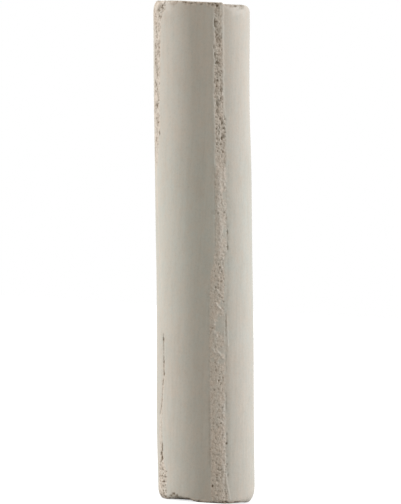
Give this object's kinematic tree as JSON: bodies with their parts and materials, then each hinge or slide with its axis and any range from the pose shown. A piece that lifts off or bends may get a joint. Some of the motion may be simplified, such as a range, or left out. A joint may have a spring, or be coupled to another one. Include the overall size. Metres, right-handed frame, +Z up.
{
  "type": "soft pastel stick",
  "caption": "Round stick of soft off-white pastel for drawing, in one bare piece, with a raw seam strip down its front and rubbed ends cut slightly off square.",
  "frame": {"origin": "centre of the flat foot face that the stick stands on", "axes": "+Z up, -Y is the front, which shows the seam strip; the barrel leans 4.1 degrees from +Z towards -X because both ends are cut that far off square"},
  "size_m": [0.017, 0.0124, 0.0644],
  "materials": {
    "pastel": "matte, dry and chalky, with two raw, pitted, slightly pinker strips along the barrel"
  },
  "bodies": {
    "root": {"pastel_stick": "pastel"}
  },
  "joints": []
}
